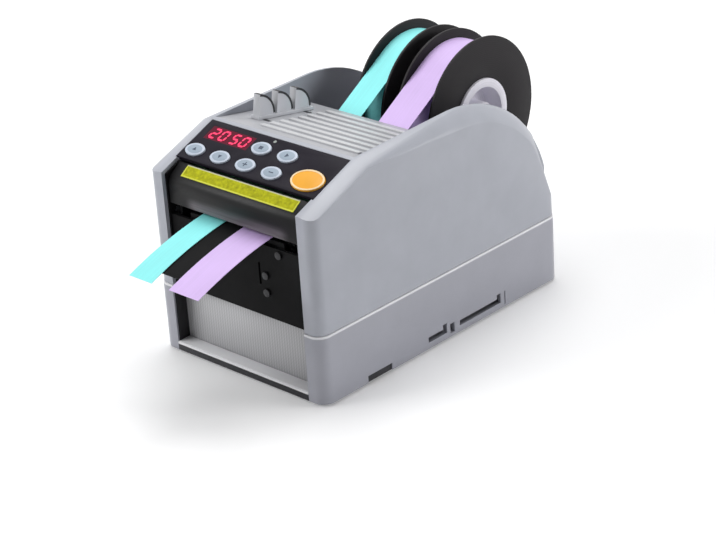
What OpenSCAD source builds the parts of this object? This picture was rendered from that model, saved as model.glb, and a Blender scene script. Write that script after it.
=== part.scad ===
// Electric tape dispenser with two tape reels, a feed drive and a shear cutter.
// Front is -Y, +Z is up, and the floor is Z = 0. Sizes are in millimetres.
// Inside the modules Y = 0 is the front plane of the body; placed() centres the whole part.

/* [Body] */
// Width of the body
body_w = 137; // [128:1:150]
// Length of the body, front plane to rear plane
body_l = 218; // [210:1:240]
// Height of the seam between the base tray and the upper cover
seam_z = 45; // [42:0.5:48]
// Height of the front end of the sloping panel surface
nose_z = 119; // [117:0.5:122]
// Height of the crown of the cheeks
crown_z = 141; // [139:0.5:146]
// Distance from the front plane to the crown
crown_y = 130; // [124:1:136]
// Radius of the cheeks' arch in the side view
crown_r = 93; // [86:1:100]
// Angle above the horizontal at which the arch turns into the rear wall
crown_end = 36; // [30:1:42]
// Rounding of the vertical edges in plan
edge_r = 8; // [5:0.5:10]
// Width of the sloping shoulder along each side
shoulder_w = 9.5; // [8:0.5:11]
// Wall thickness of the mouldings
wall = 2.4; // [2:0.1:3]
// Step by which the cover stands back from the base at the seam
seam_step = 0.6; // [0.3:0.1:1]
// Open joint at the seam
seam_gap = 0.3; // [0.1:0.1:0.5]
// Width of each front pillar
pillar_w = 13; // [11:0.5:15]
// Width of each cheek beside the reel well
cheek_w = 11.5; // [10:0.5:13]

/* [Base] */
// Height of the rubber feet under the base
foot_h = 1.5; // [1:0.1:3]
// Radius of a rubber foot
foot_r = 7; // [5:0.5:9]
// Distance of the feet from the sides and ends
foot_inset = 18; // [16:1:24]
// Depth of the front recess behind the front plane
recess_d = 11; // [8:0.5:13]
// Height of the front ledge
ledge_z = 7; // [5:0.5:9]
// Thickness of the textured front plate
plate_t = 1.5; // [1:0.1:2]
// Height of the low notches in the sides
notch_h = 6; // [4:0.5:8]

/* [Control panel] */
// Slope of the panel
panel_tilt = 22.2; // [20:0.2:24]
// Distance from the front plane to the panel's front edge
panel_y = 15; // [14:0.5:17]
// Length of the panel along its slope
panel_l = 33.8; // [33:0.1:36]
// Panel thickness
panel_t = 1.6; // [1.2:0.1:2]
// Width of a key
key_w = 14.6; // [12:0.1:15.5]
// Length of a key along the slope
key_l = 10; // [8:0.1:11]
// Width of the start key
start_w = 24; // [20:0.5:26]
// Length of the start key along the slope
start_l = 16.6; // [14:0.1:17]
// Height of the keys above the panel
key_proud = 0.9; // [0.6:0.1:2]
// Travel of the keys
key_travel = 0.8; // [0.5:0.1:1]
// Width of the display window
display_w = 36; // [30:0.5:38]
// Length of the display window along the slope
display_l = 11; // [9:0.5:12]

/* [Tape path] */
// Height of the tape at the front plane
exit_z = 95.3; // [94:0.1:97]
// Slope of the tape inside the machine
tape_dip = 9.1; // [8:0.1:10]
// Thickness of the tape
tape_t = 0.3; // [0.2:0.05:0.5]
// Width of the left tape
left_tape_w = 19; // [15:0.5:22]
// Width of the right tape
right_tape_w = 24; // [18:0.5:25]
// Length of the cut strips beyond the cutter's mouth
strip_len = 59; // [50:1:65]
// Angle by which the strips droop
strip_droop = 13; // [8:1:18]
// Length of the exit tongue beyond the mouth
tongue_len = 49; // [40:1:49]
// Thickness of the exit tongue
tongue_t = 1.4; // [1:0.1:2]
// Width of the exit tongue
tongue_w = 54; // [50:1:56]

/* [Reels] */
// Distance from the front plane to the reel well
well_front_y = 126.5; // [122:0.5:130]
// Distance from the rear plane to the reel axis
reel_from_rear = 26.3; // [24:0.1:30]
// Height of the reel axis
reel_z = 112.5; // [111:0.5:115]
// Distance between the outer faces of the two reels
reel_span = 62; // [60:1:66]
// Radius of the reel flanges
flange_r = 49.5; // [47:0.5:51]
// Thickness of a flange
flange_t = 1.8; // [1.2:0.1:2.4]
// Outer radius of the tape rolls
roll_r = 43; // [40:0.5:44]
// Inner radius of the tape rolls
core_r = 38; // [36:0.5:38.5]
// Outer radius of the hub collar
collar_r = 23; // [21:0.5:28]
// Inner radius of the hub collar
collar_bore_r = 17.5; // [14:0.5:19]
// Radius of the reel axle
axle_r = 4; // [3:0.1:5]

/* [Feed drive] */
// Distance from the front plane to the feed nip
feed_y = 42; // [41:0.5:46]
// Radius of the feed roller
feed_r = 10; // [9:0.5:11]
// Radius of the pinch roller
pinch_r = 8; // [7:0.5:9]
// Radius of the guide roller at the tape inlet
guide_r = 5; // [4:0.5:5.5]
// Radius of the feed shaft
feed_shaft_r = 3; // [2.5:0.1:3.5]
// Radius of the pinch shaft and of the guide roller's ends
pinch_shaft_r = 2; // [1.5:0.1:2.2]
// Gear module
gear_m = 0.9; // [0.8:0.05:1]
// Teeth of the feed gear
gear_teeth = 36; // [30:1:38]
// Teeth of the motor pinion
pinion_teeth = 14; // [13:1:16]
// Face width of the gears
gear_w = 4; // [3:0.5:4.5]
// Radius of the two motors
motor_r = 11; // [9:0.5:11]
// Length of the two motors
motor_l = 26; // [20:1:28]

/* [Cutter] */
// Distance from the front plane to the shear plane
shear_y = 13.3; // [13:0.1:13.8]
// Half the width of the blades
blade_half = 36; // [33:0.5:38]
// Thickness of a blade
blade_t = 1.6; // [1.2:0.1:2]
// Height of the crank's axis
crank_z = 68; // [66:0.5:69]
// Throw of the crank
crank_throw = 5; // [4:0.1:5.5]
// Radius of the crank pin
crank_pin_r = 2; // [1.5:0.1:2.5]
// Angle of the crank from straight down at rest
crank_rest = 40; // [40:1:45]

/* [Lid and safety cover] */
// Thickness of the ribbed lid
lid_t = 1.8; // [1.5:0.1:2.2]
// Slope of the lid, down towards the reels
lid_tilt = 9.6; // [9:0.1:10]
// Pitch of the ribs on the lid
rib_pitch = 8; // [5:0.1:10]
// Radius of the curved fins of the side guide
fin_r = 13.5; // [11:0.5:14]
// Pitch of the fins
fin_pitch = 15.5; // [14.5:0.1:17]
// Travel of the side guide
guide_travel = 8; // [4:0.5:9]
// Thickness of the safety cover
cover_t = 2.2; // [1.8:0.1:2.4]
// Slope of the safety cover's top
cover_tilt = 35; // [32:1:38]
// Length of the safety cover's sloping top
cover_top_l = 8.5; // [8:0.1:9]
// Outer bend radius of the safety cover
cover_bend_r = 7; // [6:0.5:8]
// Height of the safety cover's lower edge
cover_low_z = 99; // [98.5:0.1:101]

/* [Power] */
// Height of the power switch and inlet at the rear
power_z = 25; // [22:0.5:28]
// Distance of the switch and the inlet from the middle
power_x = 32; // [24:1:40]

/* [Hidden] */
$fn = 64;

// General clearances
slack = 0.3;
running = 0.05;
seat = 0.02;
over = 1;
tall = 200;

// Body
bay_half = body_w / 2 - pillar_w;
well_half = body_w / 2 - cheek_w;
slope = tan(panel_tilt);
panel_drop = seam_step / cos(panel_tilt);
panel_z = nose_z + panel_y * slope - panel_drop;
panel_w = 2 * well_half;
deck_y = panel_y + panel_l * cos(panel_tilt) + 2;
deck_z = nose_z + deck_y * slope;
floor_z = foot_h + wall;
crown_c = [crown_y, crown_z - crown_r];

// Shoulder: its drop at each place, and its section, from 1 for a round one to 2 for a plain bevel
nose_drop = 3;
deck_drop = 4.5;
crown_drop = 10.5;
shoulder_bow = 1.6;

// Front bay
bay_d = panel_y + 4;
lip_z = panel_z - 2.3;
skirt_t = 1;
skirt_drop = 1.2;
skirt_reach = skirt_t * cos(panel_tilt) + (panel_t + skirt_drop) * sin(panel_tilt) + slack;
panel_ledge = 0.8;

// Reels
reel_y = body_l - reel_from_rear;
well_floor_z = reel_z - flange_r - 2.5;
entry_z = 112.5;
throat_half = well_half - 6.6;
tape_side = 0.35;
cradle_w = 5;
cradle_half = 9;
notch_angle = atan2(reel_z - crown_c[1], reel_y - crown_c[0]);
notch_reach = 4 * axle_r;

// Lid
lid_y = deck_y + 0.8;
lid_z = deck_z - 1.2;
lid_w = 2 * (well_half - 0.4);
lid_seat = 0.9;
lid_pin_r = 1.2;
lid_pin_y = 2;
guide_x = -well_half + 17;
rib_w = 3.2;
rib_h = 1.1;
guide_foot = 8;

// Tape
tape_gap = tape_t / 2 + slack;
tape_up = [-sin(tape_dip), cos(tape_dip)];
guide_y = well_front_y - 19.5;
feed_c = tape_at(feed_y) - (feed_r + tape_gap) * tape_up;
pinch_c = tape_at(feed_y) + (pinch_r + tape_gap) * tape_up;
guide_c = tape_at(guide_y) + (guide_r + tape_gap) * tape_up;
reel_c = [reel_y, reel_z];
reach = roll_r + guide_r + 2 * tape_gap;
line_angle = 180 + atan2(reel_z - guide_c[1], reel_y - guide_c[0]);
lift_angle = line_angle - acos(reach / norm(guide_c - reel_c));
web_wrap = 130;
web_top = reel_c + (roll_r + tape_gap) * [cos(lift_angle), sin(lift_angle)];
web_low = guide_c - (guide_r + tape_gap) * [cos(lift_angle), sin(lift_angle)];
web_rise = (web_top[1] - web_low[1]) / (web_top[0] - web_low[0]);
cut_half = 1.15;
fixed_y = shear_y - 0.2;
moving_y = shear_y + 0.1;
strip_back_y = shear_y - slack;
web_front_y = moving_y + blade_t + slack;
droop_y = 3;
left_tape_x = -reel_span / 2 + flange_t + tape_side;
right_tape_x = reel_span / 2 - flange_t - tape_side - right_tape_w;

// The lid ends short of the place where the tape would meet its underside
lid_under_z = lid_z - lid_t / cos(lid_tilt) + lid_y * tan(lid_tilt);
lid_meet_y = (lid_under_z - web_low[1] + web_low[0] * web_rise) / (web_rise + tan(lid_tilt));
lid_tape_gap = 1.9;
lid_l = (lid_meet_y - lid_y) / cos(lid_tilt) - lid_tape_gap;

// Mechanism
frame_half = bay_half - 5.5;
frame_t = 2;
frame_z = seam_z;
frame_y = 6;
frame_end_y = guide_y + 6;
roller_half = frame_half - 8;
mesh_angle = -50;
gear_pitch_r = gear_m * gear_teeth / 2;
pinion_pitch_r = gear_m * pinion_teeth / 2;
pinion_c = feed_c + (gear_pitch_r + pinion_pitch_r) * [cos(mesh_angle), sin(mesh_angle)];
gear_x = frame_half + 1.2;
motor_shaft_r = 1.5;
motor_boss_r = 4;
bush_wall = 1.8;
bush_proud = 0.8;
shaft_half = frame_half + bush_proud;

// Cutter
carriage_y = moving_y + blade_t;
carriage_t = 3;
crank_y = carriage_y + carriage_t + 1.2;
crank_t = 3;
bracket_y = crank_y + crank_t + 0.8;
pin_clear = 0.35;
guide_half = 20;
guide_w = 8;
face_y = 4;
face_t = frame_y - face_y;
face_top_z = exit_z - 3.8;
blade_edge_z = exit_z + shear_y * tan(tape_dip) - tape_gap - 1.2;
fixed_edge_z = exit_z + shear_y * tan(tape_dip) + tape_gap + 0.1;
face_screws = [[guide_half + guide_w / 2, crank_z - 7], [guide_half + guide_w / 2, crank_z + 4],
    [blade_half, face_top_z - 3.5]];

// Safety cover
hinge = [panel_y - 0.2, panel_z - 3.9];
hinge_r = 1;
liner_t = 1.2;
liner_y = 3;
liner_back_y = hinge[0] - 2.2;
cover_half = bay_half - liner_t - 2 * slack;

// Fasteners
boss_x = body_w / 2 - 6.5;
boss_ys = [12, body_l - 18];
screw_r = 1.45;
screw_head_r = 3.4;
post_x = frame_half - 6;
post_ys = [recess_d + 13, frame_end_y - 6];

// Power parts
rocker_w = 9;
rocker_r = 7.2;
rocker_rest = 9;
rocker_depth = 3.4;
inlet_r = 5.5;

// Centre of the whole part, from the strips' tips to the rear of the reels
strip_outline = ribbon(exit_path(strip_len, strip_back_y), tape_t);
front_reach = min([for (p = strip_outline) p[0]]);
frame_shift = -(front_reach + reel_y + flange_r) / 2;

function tape_at(y) = [y, exit_z + y * tan(tape_dip)];

// Points on an arc, from angle a0 to a1
function arc(c, r, a0, a1, n) = [for (i = [0:n])
    let (a = a0 + (a1 - a0) * i / n) c + r * [cos(a), sin(a)]];

function heading(path, i) = path[min(i + 1, len(path) - 1)] - path[max(i - 1, 0)];

// A path moved to its left by k
function beside(path, k) = [for (i = [0:len(path) - 1])
    let (d = heading(path, i)) path[i] + k * [-d[1], d[0]] / norm(d)];

// Outline of a band of thickness t along a path
function ribbon(path, t) = let (a = beside(path, t / 2), b = beside(path, -t / 2), n = len(path))
    concat(a, [for (i = [1:n]) b[n - i]]);

// Tape line from inside the cutter, out of the mouth and down in an even bend
function exit_path(length, back_y) =
    let (r = strip_len / strip_droop * 180 / PI,
        start = tape_at(droop_y),
        centre = start - r * tape_up,
        turn = strip_droop * length / strip_len)
    concat([tape_at(back_y)], arc(centre, r, 90 + tape_dip, 90 + tape_dip + turn, 16));

// Tape line from the roll, under the guide roller and through the nip
function web_path() = concat(
    arc(reel_c, roll_r + tape_gap, lift_angle - web_wrap, lift_angle, 26),
    arc(guide_c, guide_r + tape_gap, lift_angle + 180, 270 + tape_dip, 6),
    [tape_at(web_front_y)]);

function involute(a) = tan(a) * 180 / PI - a;

// One spur gear outline with teeth of 25 degrees and a little backlash
function gear_outline(teeth, turn) =
    let (rp = gear_m * teeth / 2, rb = rp * cos(25), rf = rp - 1.2 * gear_m, ra = rp + 0.95 * gear_m,
        half = 90 / teeth - 0.1 / rp * 180 / PI + involute(25),
        radii = [rf, max(rb, rf + 0.05), rp, ra],
        flank = [for (r = radii) half - (r > rb ? involute(acos(rb / r)) : 0)])
    [for (k = [0:teeth - 1]) each
        let (mid = turn + 360 * k / teeth)
        concat([for (i = [0:3]) radii[i] * [cos(mid - flank[i]), sin(mid - flank[i])]],
            [for (i = [3:-1:0]) radii[i] * [cos(mid + flank[i]), sin(mid + flank[i])]])];

function oval(w, l) = [for (a = [0:15:345]) [w / 2 * cos(a), l / 2 * sin(a)]];

module placed() translate([0, frame_shift, 0]) children();

// Extrudes a side-view outline across the width, centred
module across(w) rotate([90, 0, 90]) translate([0, 0, -w / 2]) linear_extrude(w) children();

module across_from(x, w) translate([x + w / 2, 0, 0]) across(w) children();

module rod_x(c, r, x0, x1) translate([x0, c[0], c[1]]) rotate([0, 90, 0]) cylinder(r = r, h = x1 - x0);

module rod_y(x, z, r, y0, y1) translate([x, y0, z]) rotate([-90, 0, 0]) cylinder(r = r, h = y1 - y0);

module rod_z(x, y, r, z0, z1) translate([x, y, z0]) cylinder(r = r, h = z1 - z0);

module box(x0, x1, y0, y1, z0, z1) translate([x0, y0, z0]) cube([x1 - x0, y1 - y0, z1 - z0]);

module both_sides() {
    children();
    mirror([1, 0, 0]) children();
}

// Panel frame: x across, y up the slope, z out of the panel
module on_panel() translate([0, panel_y, panel_z]) rotate([panel_tilt, 0, 0]) children();

// Lid frame: x across, y towards the reels, z out of the lid's top
module on_lid() translate([0, lid_y, lid_z]) rotate([-lid_tilt, 0, 0]) children();

// Side view of the body: inset 1 at the outer faces, 0 where the shoulder ends; t is an inward offset
module side_profile(inset, t) {
    lift = t / cos(panel_tilt);
    rear = body_l - t + slack;
    polygon(concat([[-over, 0], [-over, nose_z - over * slope - nose_drop * inset - lift],
        [deck_y, deck_z - deck_drop * inset - lift]],
        arc(crown_c, crown_r - crown_drop * inset - t, 95, crown_end, 12),
        [[rear, seam_z], [rear, 0]]));
}

// Outer form of the whole body, or a form inset by t: an arch with sloping shoulders, cut to the plan
module envelope(t) intersection() {
    plan_block(t, 0, tall);
    hull() for (a = [0:15:90])
        across(body_w - 2 * t + 2 * slack - 2 * shoulder_w * (1 - pow(cos(a), shoulder_bow)))
        side_profile(1 - pow(sin(a), shoulder_bow), t);
}

// Block with rounded vertical edges on the body's plan, inset by t
module plan_block(t, z0, z1) {
    half = body_w / 2;
    box(t - half, half - t, edge_r, body_l - edge_r, z0, z1);
    box(edge_r - half, half - edge_r, t, body_l - t, z0, z1);
    both_sides() for (y = [edge_r, body_l - edge_r]) rod_z(half - edge_r, y, edge_r - t, z0, z1);
}

// Trough over the lid and well behind it, grown by g for its walls
module well_block(g) {
    seat = lid_t + lid_seat;
    front = lid_y - g;
    seat_z = lid_z - seat - g;
    fall = (well_front_y - lid_y) * tan(lid_tilt);
    across(2 * (well_half + g)) polygon([[front, tall], [front, seat_z],
        [well_front_y - g, seat_z - fall], [well_front_y - g, well_floor_z - g],
        [body_l + edge_r, well_floor_z - g], [body_l + edge_r, tall]]);
}

// Open bay between the front pillars
module bay_block(g) across(2 * (bay_half + g)) polygon([[-over, 0], [bay_d, 0], [bay_d, lip_z],
    [panel_y + skirt_reach, lip_z], [panel_y + skirt_reach, tall], [-over, tall]]);

// Block on one cheek's inner face, with a notch for the axle that opens up and back
module axle_cradle() difference() {
    intersection() {
        box(well_half - cradle_w, well_half + wall / 2, reel_y - cradle_half, body_l,
            well_floor_z - wall / 2, reel_z + axle_r);
        rod_x(crown_c, crown_r - seam_step - 0.2, 0, body_w);
    }
    rod_x(reel_c, axle_r + running, 0, body_w);
    translate([0, reel_y, reel_z]) rotate([notch_angle, 0, 0])
        box(0, body_w, 0, notch_reach, -axle_r - 2 * running, axle_r + 2 * running);
}

module upper_cover() color([0.65, 0.66, 0.69]) union() {
    difference() {
        intersection() {
            envelope(seam_step);
            box(-body_w, body_w, -over, body_l + over, seam_z + seam_gap, tall);
        }
        difference() {
            envelope(seam_step + wall);
            well_block(wall);
            bay_block(wall);
            both_sides() for (y = boss_ys) rod_z(boss_x, y, screw_head_r + 1, 0, seam_z + 14);
        }
        well_block(0);
        bay_block(0);
        box(-throat_half, throat_half, lid_y + 6, well_front_y + over, entry_z, tall);
        on_panel() box(-panel_w / 2, panel_w / 2, -over, panel_l, -panel_t, tall);
        on_panel() box(panel_ledge - panel_w / 2, panel_w / 2 - panel_ledge, skirt_t + slack,
            panel_l - panel_ledge - over, -2 * wall, tall);
        both_sides() for (y = boss_ys) rod_z(boss_x, y, screw_r, 0, seam_z + 12);
        rod_x(hinge, hinge_r + running, -bay_half - wall - over, bay_half + wall + over);
        on_lid() rod_x([lid_pin_y, -lid_t / 2], lid_pin_r + running, -well_half - wall - slack,
            well_half + wall + slack);
    }
    both_sides() axle_cradle();
}

module base_tray() color([0.61, 0.61, 0.65]) difference() {
    plan_block(0, foot_h, seam_z);
    difference() {
        plan_block(wall, floor_z, tall);
        box(-bay_half - wall, bay_half + wall, 0, recess_d + wall, 0, tall);
        both_sides() for (y = boss_ys) rod_z(boss_x, y, screw_head_r + wall, 0, tall);
        both_sides() for (y = post_ys) rod_z(post_x, y, 4, 0, frame_z);
    }
    box(-bay_half, bay_half, -over, recess_d, ledge_z, tall);
    both_sides() {
        for (y = boss_ys) rod_z(boss_x, y, screw_r + 0.25, 0, tall);
        for (y = boss_ys) rod_z(boss_x, y, screw_head_r + 0.2, 0, foot_h + 6);
        for (y = post_ys) rod_z(post_x, y, screw_r - 0.15, seam_z - 9, tall);
        for (y = foot_ys()) rod_z(body_w / 2 - foot_inset, y, foot_r + seat, 0, foot_h + 0.8);
        side_notches();
    }
    box(-power_x - 6.6, -power_x + 6.6, body_l - 2 * wall, body_l + over, power_z - 9.6, power_z + 9.6);
    rod_y(power_x, power_z, inlet_r, body_l - 2 * wall, body_l + over);
}

function foot_ys() = [foot_inset + 4, body_l - foot_inset];

// Low openings in one side: a notch from below, then two stepped vents with a slot between
module side_notches() {
    face = body_w / 2;
    inner = face - wall - over;
    box(inner, face + over, 37, 58, 0, notch_h);
    box(inner, face + over, 91, 108, notch_h - 0.5, notch_h + 3);
    box(inner, face + over, 104.5, 108, notch_h - 0.5, notch_h + 6);
    box(inner, face + over, 111, 115, notch_h - 2.5, notch_h + 4);
    box(inner, face + over, 120, 159, notch_h - 0.5, notch_h + 3);
    box(inner, face + over, 155.5, 159, notch_h - 0.5, notch_h + 6);
    box(face - 0.6, face + over, 162.5, 163.7, notch_h - 3, notch_h + 6);
}

module front_plate() color([0.62, 0.62, 0.64])
    box(slack - bay_half, bay_half - slack, recess_d - plate_t, recess_d, ledge_z, seam_z - slack);

module rubber_feet() color([0.12, 0.12, 0.13]) both_sides() for (y = foot_ys())
    rod_z(body_w / 2 - foot_inset, y, foot_r, 0, foot_h + 0.8);

module base_screws() color([0.75, 0.76, 0.78]) both_sides() for (y = boss_ys) {
    rod_z(boss_x, y, screw_head_r, foot_h + 3.8, foot_h + 6);
    rod_z(boss_x, y, screw_r - seat, foot_h + 6, seam_z + 10);
}

// Key places on the panel: four in the front row, two behind the last of them. The third key stands
// just past the display, and the last shares the room between it and the start key.
key_flange = 0.7;
key_edge = panel_ledge + slack + key_flange + key_w / 2;
display_edge = 6;
display_end = display_edge + display_w - panel_w / 2;
display_gap = 2.3;
start_edge = 2;
start_x = panel_w / 2 - start_edge - start_w / 2;
start_row = skirt_t + 2 * slack + key_flange + start_l / 2;
first_x = key_edge - panel_w / 2;
third_x = display_end + display_gap + key_w / 2;
second_x = (first_x + third_x) / 2;
key_room = start_x - start_w / 2 - third_x - 3 * key_w / 2;
start_gap = 0.53 * key_room;
last_x = start_x - start_w / 2 - start_gap - key_w / 2;
front_row = 8;
back_row = front_row + key_l + 5;
key_places = [[first_x, front_row], [second_x, front_row], [third_x, front_row], [last_x, front_row],
    [third_x, back_row], [last_x, back_row]];
start_place = [start_x, start_row];
display_place = [display_end - display_w / 2, back_row + 1];
led_place = [display_end + 14, panel_l - 3];
post_rows = [4.5, panel_l - 6];
post_places = [[(first_x + second_x) / 2, post_rows[0]], [last_x + (key_w + start_gap) / 2, post_rows[0]],
    [last_x + key_w, post_rows[1]], [start_x + 5, post_rows[1]]];
led_r = 1;
board_z = 9.6;

module key_hole(place, w, l) translate([place[0], place[1], -panel_t - over])
    linear_extrude(panel_t + 2 * over) polygon(oval(w + 2 * slack, l + 2 * slack));

module panel_fascia() color([0.1, 0.09, 0.11]) on_panel() {
    difference() {
        union() {
            box(slack - panel_w / 2, panel_w / 2 - slack, 0, panel_l - slack, -panel_t, 0);
            box(slack - bay_half, bay_half - slack, 0, skirt_t, -panel_t - skirt_drop, 0);
        }
        for (p = key_places) key_hole(p, key_w, key_l);
        key_hole(start_place, start_w, start_l);
        translate([display_place[0], display_place[1], 0])
            box(-display_w / 2, display_w / 2, -display_l / 2, display_l / 2, -panel_t - over, over);
        rod_z(led_place[0], led_place[1], led_r + seat, -panel_t - over, over);
    }
    for (p = post_places) rod_z(p[0], p[1], 1.4, -board_z + 1.6, -panel_t);
}

// A push key: an oval cap through the panel, a flange below it and a plunger over its switch
module push_key(place, w, l) translate([place[0], place[1], 0]) {
    translate([0, 0, -panel_t - slack - 1]) linear_extrude(panel_t + slack + 1 + key_proud)
        polygon(oval(w, l));
    translate([0, 0, -panel_t - slack - 1.2]) linear_extrude(1.2)
        polygon(oval(w + 2 * key_flange, l + 2 * key_flange));
}

module small_key(i) color([0.72, 0.77, 0.83]) on_panel() push_key(key_places[i - 1], key_w, key_l);

module start_key() color([0.97, 0.66, 0.18]) on_panel() push_key(start_place, start_w, start_l);

module display_window() color([0.75, 0.1, 0.2]) on_panel()
    translate([display_place[0], display_place[1], 0])
    box(seat - display_w / 2, display_w / 2 - seat, seat - display_l / 2, display_l / 2 - seat, -panel_t, 0);

module status_led() color([0.6, 0.65, 0.6]) on_panel()
    rod_z(led_place[0], led_place[1], led_r, -board_z + 1.6, 0.3);

module keypad_board() color([0.1, 0.35, 0.2]) on_panel()
    box(5 - panel_w / 2, panel_w / 2 - 5, 3.5, panel_l - 1.5, -board_z, -board_z + 1.6);

module key_switches() color([0.25, 0.25, 0.27]) on_panel() for (p = concat(key_places, [start_place]))
    translate([p[0], p[1], 0]) {
        box(-3, 3, -3, 3, -board_z + 1.6, -panel_t - slack - 1.2 - key_travel - 1);
        rod_z(0, 0, 1.6, -panel_t - slack - 2.2 - key_travel, -panel_t - slack - 1.25 - key_travel);
    }

module display_module() color([0.85, 0.85, 0.86]) on_panel()
    translate([display_place[0], display_place[1], 0])
    box(-display_w / 2 + 1, display_w / 2 - 1, 0.5 - display_l / 2, display_l / 2 - 0.5,
        -board_z + 1.6, -panel_t);

// Middle line of the safety cover, from its hinge forward, down and round to its lower edge
cover_corner = hinge - cover_top_l * [cos(cover_tilt), sin(cover_tilt)];
cover_bend_c = cover_corner + cover_bend_r * [sin(cover_tilt), -cos(cover_tilt)];
cover_path = concat([hinge], arc(cover_bend_c, cover_bend_r, 90 + cover_tilt, 180, 10),
    [[cover_bend_c[0] - cover_bend_r, cover_low_z]]);

module safety_cover() color([0.08, 0.08, 0.09]) {
    across(2 * cover_half) polygon(ribbon(cover_path, cover_t));
    rod_x(hinge, hinge_r, slack - bay_half - wall, bay_half + wall - slack);
}

module yellow_strip() color([0.82, 0.82, 0.16]) translate([0, hinge[0], hinge[1]])
    rotate([cover_tilt, 0, 0])
    box(-bay_half + 10, bay_half - 8, -cover_top_l - 0.2, -0.4, cover_t / 2 + seat, cover_t / 2 + 0.4);

// Height of the liners' top, a little under the panel's slope
function liner_top(y) = nose_z + y * slope - panel_drop - 2.5;

// Black front of the cutter: a plate with a liner along each pillar, beside the safety cover
module cutter_face() color([0.09, 0.09, 0.1]) difference() {
    union() {
        box(slack - bay_half, bay_half - slack, face_y, frame_y, frame_z, face_top_z);
        both_sides() across_from(bay_half - slack - liner_t, liner_t) polygon([[liner_y, frame_z],
            [frame_y, frame_z], [frame_y, face_top_z], [liner_back_y, face_top_z + 7],
            [liner_back_y, liner_top(liner_back_y)], [liner_y, liner_top(liner_y)]]);
    }
    both_sides() {
        for (s = face_screws) rod_y(s[0], s[1], screw_r, 0, frame_y + over);
        box(guide_half - 2, guide_half - 0.4, 0, frame_y + over, crank_z - 3, crank_z + 11);
    }
}

module cutter_face_screws() color([0.6, 0.61, 0.63]) both_sides() for (s = face_screws) {
    rod_y(s[0], s[1], 2.4, face_y - 1.2, face_y);
    rod_y(s[0], s[1], screw_r - seat, face_y, frame_y + 1.2);
}

module exit_tongue() color([0.07, 0.07, 0.08]) difference() {
    union() {
        across(tongue_w) polygon(ribbon(beside(exit_path(tongue_len, strip_back_y - 0.5),
            tape_gap + tongue_t / 2), tongue_t));
        box(-blade_half - 3, blade_half + 3, frame_y, frame_y + 1.5, face_top_z - 8,
            tape_at(frame_y)[1] - tape_gap - tongue_t / 2);
    }
    both_sides() rod_y(face_screws[2][0], face_screws[2][1], screw_r, 0, tall);
}

module fixed_blade() color([0.8, 0.81, 0.83])
    box(-blade_half - 2, blade_half + 2, fixed_y - blade_t, fixed_y, fixed_edge_z, fixed_edge_z + 10);

module blade_bar() color([0.3, 0.3, 0.32])
    box(frame_t - frame_half, frame_half - frame_t, frame_y + 1.6, fixed_y - blade_t,
        fixed_edge_z + 1.5, fixed_edge_z + 11);

// The blade's edge rises to one side, so it shears across the tape
module moving_blade() color([0.8, 0.81, 0.83]) translate([0, moving_y + blade_t, 0])
    rotate([90, 0, 0]) linear_extrude(blade_t)
    polygon([[-blade_half, crank_z + 14], [blade_half, crank_z + 14], [blade_half, blade_edge_z],
        [-blade_half, blade_edge_z - 1.2]]);

// Crank pin's place at rest, and the carriage's slot at the same height
crank_pin = [crank_throw * sin(crank_rest), crank_z - crank_throw * cos(crank_rest)];

module blade_carriage() color([0.5, 0.5, 0.53]) difference() {
    union() {
        box(-guide_half - 1.8, guide_half + 1.8, carriage_y, carriage_y + carriage_t, crank_z - 12,
            crank_z + 13);
        box(-blade_half, blade_half, carriage_y, carriage_y + carriage_t, crank_z + 12, crank_z + 20);
    }
    box(-crank_throw - crank_pin_r - 1, crank_throw + crank_pin_r + 1, 0, tall,
        crank_pin[1] - crank_pin_r - pin_clear, crank_pin[1] + crank_pin_r + pin_clear);
}

module crank_disc() color([0.72, 0.72, 0.74]) {
    rod_y(0, crank_z, crank_throw + crank_pin_r + 2, crank_y, crank_y + crank_t);
    rod_y(crank_pin[0], crank_pin[1], crank_pin_r, carriage_y + 0.3, crank_y);
    rod_y(0, crank_z, motor_shaft_r, crank_y + crank_t, bracket_y + frame_t + 8);
}

module cutter_motor() color([0.55, 0.56, 0.58]) difference() {
    union() {
        rod_y(0, crank_z, motor_r, bracket_y + frame_t, bracket_y + frame_t + motor_l);
        rod_y(0, crank_z, motor_boss_r, bracket_y, bracket_y + frame_t);
    }
    rod_y(0, crank_z, motor_shaft_r + running, 0, bracket_y + frame_t + 9);
}

module carriage_guides() color([0.35, 0.35, 0.37]) both_sides() difference() {
    box(guide_half, guide_half + guide_w, frame_y, carriage_y + carriage_t + 2, frame_z + frame_t,
        crank_z + 10);
    box(0, guide_half + 1.8 + slack, carriage_y - 0.15, carriage_y + carriage_t + 0.15, 0, tall);
    for (s = face_screws) rod_y(s[0], s[1], screw_r, 0, frame_y + 1.2);
}

module bush_bore(c, r) rod_x(c, r + bush_wall + seat, -tall, tall);

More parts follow.
